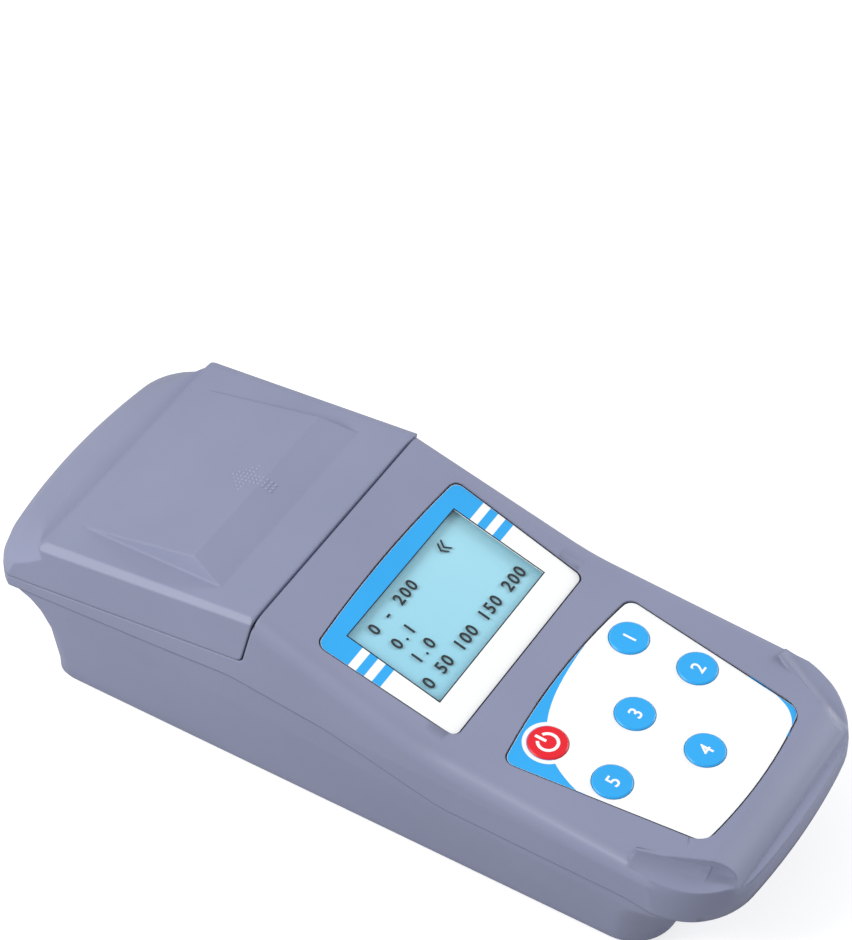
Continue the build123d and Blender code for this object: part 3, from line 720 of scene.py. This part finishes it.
def scoop_lining(side):
    """Closed band that follows a hollow's wall, root and floor just under their surface."""
    profile = []
    for k in range(9):
        turn = math.radians(60 - 7.5 * k)
        profile.append((SCOOP_ROUND * (1 - math.sin(turn)), SCOOP_ROUND * (1 - math.cos(turn))))
    profile += LINING_BACK
    work = bmesh.new()
    rings = []
    for y in LINING_STATIONS:
        share = (y - SCOOP_REAR[1]) / (SCOOP_FRONT[1] - SCOOP_REAR[1])
        root = SCOOP_REAR[0] + (SCOOP_FRONT[0] - SCOOP_REAR[0]) * share
        floor = scoop_floor(y) - LINING_SINK
        ring = []
        for out, rise in profile:
            x = min(root + out / LINING_SLANT - LINING_SINK, scoop_reach(y))
            ring.append(work.verts.new((side * x * MM, y * MM, (floor + rise) * MM)))
        rings.append(ring)
    count = len(profile)
    for one, two in zip(rings, rings[1:]):
        for k in range(count):
            work.faces.new((one[k], one[(k + 1) % count], two[(k + 1) % count], two[k]))
    work.faces.new(rings[0])
    work.faces.new(rings[-1][::-1])
    bmesh.ops.recalc_face_normals(work, faces=work.faces)
    mesh = bpy.data.meshes.new("scoop_lining")
    work.to_mesh(mesh)
    work.free()
    mesh.shade_smooth()
    mesh.set_sharp_from_angle(angle=math.radians(LINING_CREASE))
    return mesh


# Dressed casings: the CAD shapes welded, with creases kept and shallow curves smooth
def united(mesh, extra):
    """Mesh that is the union of a closed mesh and closed extras."""
    tools = [placed(bpy.data.objects.new("tool", piece)) for piece in extra]
    base = placed(bpy.data.objects.new("base", mesh))
    for tool in tools:
        union = base.modifiers.new("union", "BOOLEAN")
        union.operation = "UNION"
        union.solver = "EXACT"
        union.object = tool
    whole = baked(base)
    for tool in tools:
        bpy.data.objects.remove(tool)
    return whole


def dressed(node, name, body, crease, extra=()):
    """Welded copy of a CAD shape that stands for its node."""
    mesh = nodes[node].data.copy()
    work = bmesh.new()
    work.from_mesh(mesh)
    bmesh.ops.remove_doubles(work, verts=work.verts, dist=2e-6)
    work.to_mesh(mesh)
    work.free()
    if extra:
        mesh = united(mesh, extra)
    work = bmesh.new()
    work.from_mesh(mesh)
    bmesh.ops.dissolve_limit(
        work, angle_limit=math.radians(COPLANAR), verts=work.verts, edges=work.edges
    )
    work.to_mesh(mesh)
    work.free()
    mesh.name = name
    obj = new_piece(name, mesh, casing, body)
    mesh.shade_smooth()
    mesh.set_sharp_from_angle(angle=math.radians(crease))
    normals = obj.modifiers.new("even", "WEIGHTED_NORMAL")
    normals.keep_sharp = True
    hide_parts(node)
    return obj


dressed("top_housing", "top_shell", "meter", CASING_CREASE, [scoop_lining(1), scoop_lining(-1)])
dressed("bottom_housing", "base_shell", "meter", CASING_CREASE)
dressed("lid", "lid_shell", "lid", LID_CREASE)


# Camera, where the photograph was taken from
SENSOR = 36.0
PHOTO_HEIGHT = 940
FOCAL_PIXELS = 3754.9
CAMERA_AT = Vector((-0.6314, -0.3960, 0.9068))
CAMERA_TURN = math.radians(-57.985)
CAMERA_LIFT = math.radians(46.899)

camera_data = bpy.data.cameras.new("camera")
camera_data.sensor_width = SENSOR
camera_data.lens = FOCAL_PIXELS / PHOTO_HEIGHT * SENSOR
camera_data.clip_start = 0.05
camera_data.clip_end = 20.0
camera = placed(bpy.data.objects.new("camera", camera_data))
right = Vector((math.cos(CAMERA_TURN), math.sin(CAMERA_TURN), 0))
level = Vector((math.sin(CAMERA_TURN), -math.cos(CAMERA_TURN), 0))
back = level * math.cos(CAMERA_LIFT) + Vector((0, 0, math.sin(CAMERA_LIFT)))
up = back.cross(right)
camera.matrix_world = Matrix.Translation(CAMERA_AT) @ Matrix((right, up, back)).transposed().to_4x4()
bpy.context.scene.camera = camera


# Floor and light
FLOOR_REACH = 4.0
FLOOR_TONE = (0.52, 0.52, 0.53)
FLOOR_GLOW = 0.66
WORLD_LIGHT = 0.53
WORLD_TONE = (0.97, 0.98, 1.0)
LIGHT_AIM = Vector((0, 0, 0.03))


def floor_finish():
    """Floor finish: pale, with a white glow that only the camera sees, so that shadows stay."""
    mat = bpy.data.materials.new("floor_pale")
    mat.use_nodes = True
    tree = mat.node_tree
    tree.nodes.clear()
    out = tree.nodes.new("ShaderNodeOutputMaterial")
    cloth = tree.nodes.new("ShaderNodeBsdfDiffuse")
    cloth.inputs["Color"].default_value = (*FLOOR_TONE, 1)
    glow = tree.nodes.new("ShaderNodeEmission")
    glow.inputs["Strength"].default_value = FLOOR_GLOW
    dark = tree.nodes.new("ShaderNodeEmission")
    dark.inputs["Strength"].default_value = 0.0
    path = tree.nodes.new("ShaderNodeLightPath")
    pick = tree.nodes.new("ShaderNodeMixShader")
    both = tree.nodes.new("ShaderNodeAddShader")
    tree.links.new(path.outputs["Is Camera Ray"], pick.inputs[0])
    tree.links.new(dark.outputs[0], pick.inputs[1])
    tree.links.new(glow.outputs[0], pick.inputs[2])
    tree.links.new(cloth.outputs[0], both.inputs[0])
    tree.links.new(pick.outputs[0], both.inputs[1])
    tree.links.new(both.outputs[0], out.inputs[0])
    return mat


def floor_piece():
    mesh = bpy.data.meshes.new("floor")
    corners = [(x * FLOOR_REACH, y * FLOOR_REACH, 0) for x, y in ((-1, -1), (1, -1), (1, 1), (-1, 1))]
    mesh.from_pydata(corners, [], [(0, 1, 2, 3)])
    mesh.materials.append(floor_finish())
    return placed(bpy.data.objects.new("floor", mesh))


def studio_world():
    """World that is white to the camera and a plain soft light to the object."""
    world = bpy.data.worlds.new("world")
    world.use_nodes = True
    tree = world.node_tree
    tree.nodes.clear()
    out = tree.nodes.new("ShaderNodeOutputWorld")
    seen = tree.nodes.new("ShaderNodeBackground")
    seen.inputs["Strength"].default_value = 1.0
    lit = tree.nodes.new("ShaderNodeBackground")
    lit.inputs["Color"].default_value = (*WORLD_TONE, 1)
    lit.inputs["Strength"].default_value = WORLD_LIGHT
    path = tree.nodes.new("ShaderNodeLightPath")
    choose = tree.nodes.new("ShaderNodeMixShader")
    tree.links.new(path.outputs["Is Camera Ray"], choose.inputs[0])
    tree.links.new(lit.outputs[0], choose.inputs[1])
    tree.links.new(seen.outputs[0], choose.inputs[2])
    tree.links.new(choose.outputs[0], out.inputs[0])
    return world


def soft_light(name, place, size, power):
    """Square area light that faces the object."""
    data = bpy.data.lights.new(name, "AREA")
    data.shape = "SQUARE"
    data.size = size
    data.energy = power
    obj = placed(bpy.data.objects.new(name, data))
    obj.location = place
    obj.rotation_mode = "QUATERNION"
    obj.rotation_quaternion = (LIGHT_AIM - Vector(place)).to_track_quat("-Z", "Y")
    return obj


floor = floor_piece()
bpy.context.scene.world = studio_world()
soft_light("key_light", (-0.75, 0.70, 0.98), 0.7, 15.5)
soft_light("side_light", (1.15, -0.75, 0.42), 0.7, 12.0)

bpy.context.scene.view_settings.view_transform = "Standard"
